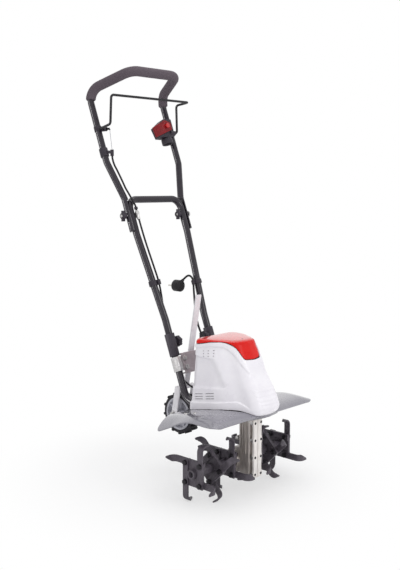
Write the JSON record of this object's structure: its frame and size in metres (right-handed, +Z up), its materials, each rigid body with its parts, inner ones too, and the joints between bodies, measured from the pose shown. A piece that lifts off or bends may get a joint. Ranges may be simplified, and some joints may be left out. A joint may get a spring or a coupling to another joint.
{
  "type": "garden tiller",
  "caption": "Electric garden tiller: star tines under a sheet shield, worm gearbox and motor in a glossy cowl, folding handle with a switch bail and a height-set wheel.",
  "frame": {"origin": "middle of the footprint, on the ground the tine tips stand on", "axes": "+Z up, -Y to the front of the machine, +X to its left as the operator sees it from behind"},
  "size_m": [0.402, 0.5707, 1.1543],
  "materials": {
    "white_gloss": "gloss",
    "red_gloss": "gloss",
    "silver_paint": "satin",
    "black_tube": "gloss",
    "tine_paint": "satin",
    "cast_alloy": "as cast",
    "zinc_steel": "satin",
    "bearing_steel": "ground",
    "bracket_steel": "satin",
    "clamp_steel": "satin",
    "iron_stack": "matte",
    "bronze": "machined",
    "white_paint": "gloss",
    "tyre": "matte",
    "rim_plastic": "satin",
    "black_plastic": "moulded",
    "button_plastic": "gloss",
    "black_rubber": "matte",
    "nickel": "polished",
    "cable_sheath": "satin",
    "grip_foam": "foam",
    "bail_wire": "gloss",
    "black_oxide": "satin"
  },
  "bodies": {
    "chassis": {"gearbox_half_left": "cast_alloy", "gearbox_half_right": "cast_alloy", "body_screws": "zinc_steel", "axle_bearings": "bearing_steel", "shaft_bearings": "bearing_steel", "shield": "silver_paint", "base_plate": "zinc_steel", "frame_tubes": "black_tube", "tube_clips": "zinc_steel", "motor_can": "zinc_steel", "stator": "iron_stack", "motor_switch": "black_plastic", "cowl": "white_gloss", "cowl_cover": "red_gloss", "cord_gland": "black_rubber", "mains_cord": "black_rubber", "mains_plug": "black_rubber", "plug_pins": "nickel", "line_clips": "black_plastic", "cross_bracket": "bracket_steel", "bracket_clamps": "clamp_steel", "handle_bolts": "zinc_steel", "bar_guide": "black_plastic", "handle_sockets": "black_plastic", "lower_handle": "black_tube", "cable_lower": "cable_sheath", "cable_adjuster": "zinc_steel", "cable_loop": "cable_sheath"},
    "upper_handle": {"upper_handle": "black_tube", "foam_grip": "grip_foam", "cable_upper": "cable_sheath", "cable_stop": "black_plastic", "switch_housing": "black_plastic", "switch_plate": "red_gloss", "inlet_collar": "black_plastic", "bail_bracket": "black_plastic"},
    "bail": {"bail": "bail_wire"},
    "lock_button": {"lock_button": "button_plastic"},
    "inner_wire": {"inner_wire": "bearing_steel"},
    "switch_plunger": {"switch_plunger": "black_plastic"},
    "wing_nut_left": {"wing_nut_left": "black_plastic"},
    "wing_knob_right": {"wing_knob_right": "black_plastic"},
    "socket_knob_left": {"socket_knob_left": "black_plastic"},
    "socket_knob_right": {"socket_knob_right": "black_plastic"},
    "fork_knob": {"fork_knob": "black_plastic"},
    "fork": {"wheel_fork": "white_paint", "wheel_axle": "zinc_steel"},
    "wheel": {"wheel_rim": "rim_plastic", "wheel_tyre": "tyre"},
    "tines": {"tine_axle": "bearing_steel", "worm_wheel": "bronze", "hub_tubes": "tine_paint", "star_plates": "tine_paint", "inner_blades": "tine_paint", "middle_blades": "tine_paint", "outer_blades": "tine_paint", "tine_fasteners": "black_oxide"},
    "rotor": {"worm_shaft": "bearing_steel", "armature": "iron_stack"}
  },
  "joints": [
    {"name": "tine_spin", "type": "hinge", "parent": "chassis", "child": "tines", "pos_m": [0, -0.17, 0.08], "axis": [1, 0, 0], "continuous": true},
    {"name": "motor_spin", "type": "hinge", "parent": "chassis", "child": "rotor", "pos_m": [0, -0.203, 0.194], "axis": [0, 0, 1], "continuous": true},
    {"name": "handle_fold", "type": "hinge", "parent": "chassis", "child": "upper_handle", "pos_m": [0, 0.14701, 0.736], "axis": [1, 0, 0], "range_deg": [0, 125], "deforming": ["cable_loop"]},
    {"name": "bail_squeeze", "type": "hinge", "parent": "upper_handle", "child": "bail", "pos_m": [0, 0.22, 0.979], "axis": [-1, 0, 0], "range_deg": [0, 20], "stiffness_Nm_per_rad": 1.5, "springref_deg": -11.46},
    {"name": "wire_pull", "type": "slide", "parent": "upper_handle", "child": "inner_wire", "axis": [0, 0.1579, 0.9875], "range_m": [0, 0.0043]},
    {"name": "switch_travel", "type": "slide", "parent": "chassis", "child": "switch_plunger", "axis": [0, 1, 0], "range_m": [0, 0.0043]},
    {"name": "lock_press", "type": "slide", "parent": "upper_handle", "child": "lock_button", "axis": [0, 0.933, -0.36], "range_m": [0, 0.0035], "stiffness_N_per_m": 300, "springref_m": -0.002},
    {"name": "left_wing_turn", "type": "hinge", "parent": "chassis", "child": "wing_nut_left", "pos_m": [0, 0.14701, 0.736], "axis": [1, 0, 0], "range_deg": [-180, 180]},
    {"name": "right_wing_turn", "type": "hinge", "parent": "chassis", "child": "wing_knob_right", "pos_m": [0, 0.14701, 0.736], "axis": [1, 0, 0], "range_deg": [-180, 180]},
    {"name": "left_socket_knob_turn", "type": "hinge", "parent": "chassis", "child": "socket_knob_left", "pos_m": [0, 0.01273, 0.388], "axis": [1, 0, 0], "range_deg": [-180, 180]},
    {"name": "right_socket_knob_turn", "type": "hinge", "parent": "chassis", "child": "socket_knob_right", "pos_m": [0, 0.01273, 0.388], "axis": [1, 0, 0], "range_deg": [-180, 180]},
    {"name": "fork_knob_turn", "type": "hinge", "parent": "chassis", "child": "fork_knob", "pos_m": [0, 0.01779, 0.329], "axis": [0, 0.9833, 0.1822], "range_deg": [-180, 180]},
    {"name": "fork_slide", "type": "slide", "parent": "chassis", "child": "fork", "axis": [0, -0.1822, 0.9833], "range_m": [-0.112, 0]},
    {"name": "wheel_spin", "type": "hinge", "parent": "fork", "child": "wheel", "pos_m": [0, 0.048, 0.166], "axis": [1, 0, 0], "continuous": true}
  ],
  "couplings": [
    {"joint": "motor_spin", "follows": "tine_spin", "ratio": 24},
    {"joint": "wire_pull", "follows": "bail_squeeze", "m_per_rad": 0.012},
    {"joint": "switch_travel", "follows": "bail_squeeze", "m_per_rad": 0.012}
  ]
}
